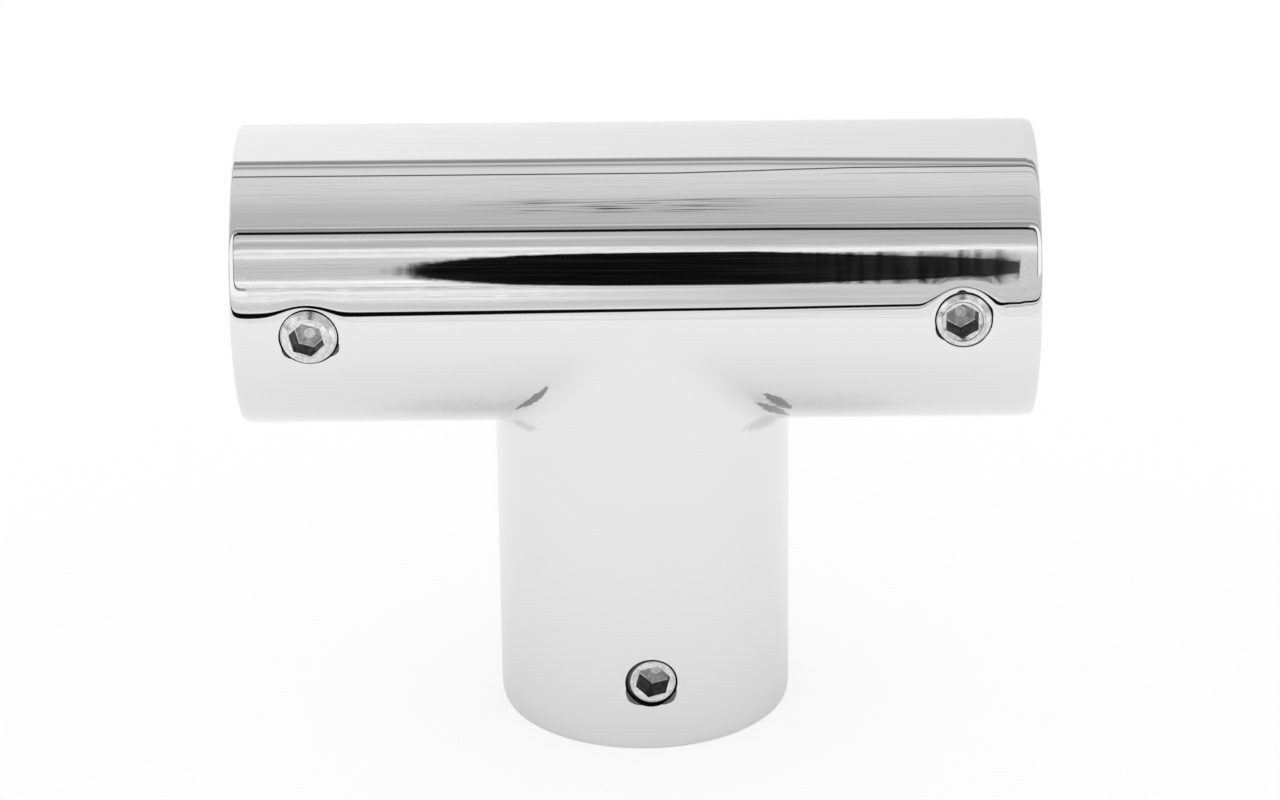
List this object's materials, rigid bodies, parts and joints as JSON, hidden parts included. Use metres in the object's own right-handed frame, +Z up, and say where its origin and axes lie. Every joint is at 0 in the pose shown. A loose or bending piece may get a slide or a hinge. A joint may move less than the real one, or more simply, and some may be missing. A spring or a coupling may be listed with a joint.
{
  "type": "three-way tube connector",
  "caption": "Round tee connector for joining a tube square to the middle of two others in line, with a set screw in each arm.",
  "frame": {"origin": "centre of the stem's open end, in the plane of its rim, which is what the part stands on", "axes": "+Z up the stem towards the bar, +X along the bar towards its shorter arm, and the set screws face -Y"},
  "size_m": [0.077, 0.0295, 0.0599],
  "materials": {
    "polished_steel": "mirror polished stainless steel casting",
    "screw_steel": "turned stainless steel, bright, with fine turning marks"
  },
  "bodies": {
    "tee": {"tee_body": "polished_steel"},
    "left_screw": {"set_screw_left": "screw_steel"},
    "right_screw": {"set_screw_right": "screw_steel"},
    "stem_screw": {"set_screw_stem": "screw_steel"}
  },
  "joints": [
    {"name": "left_screw_travel", "type": "slide", "parent": "tee", "child": "left_screw", "axis": [0, -0.9976, -0.0698], "range_m": [-0.001, 0.002]},
    {"name": "right_screw_travel", "type": "slide", "parent": "tee", "child": "right_screw", "axis": [0, -0.9999, 0.014], "range_m": [-0.001, 0.002]},
    {"name": "stem_screw_travel", "type": "slide", "parent": "tee", "child": "stem_screw", "axis": [0.0489, -0.9988, 0], "range_m": [-0.001, 0.002]}
  ]
}
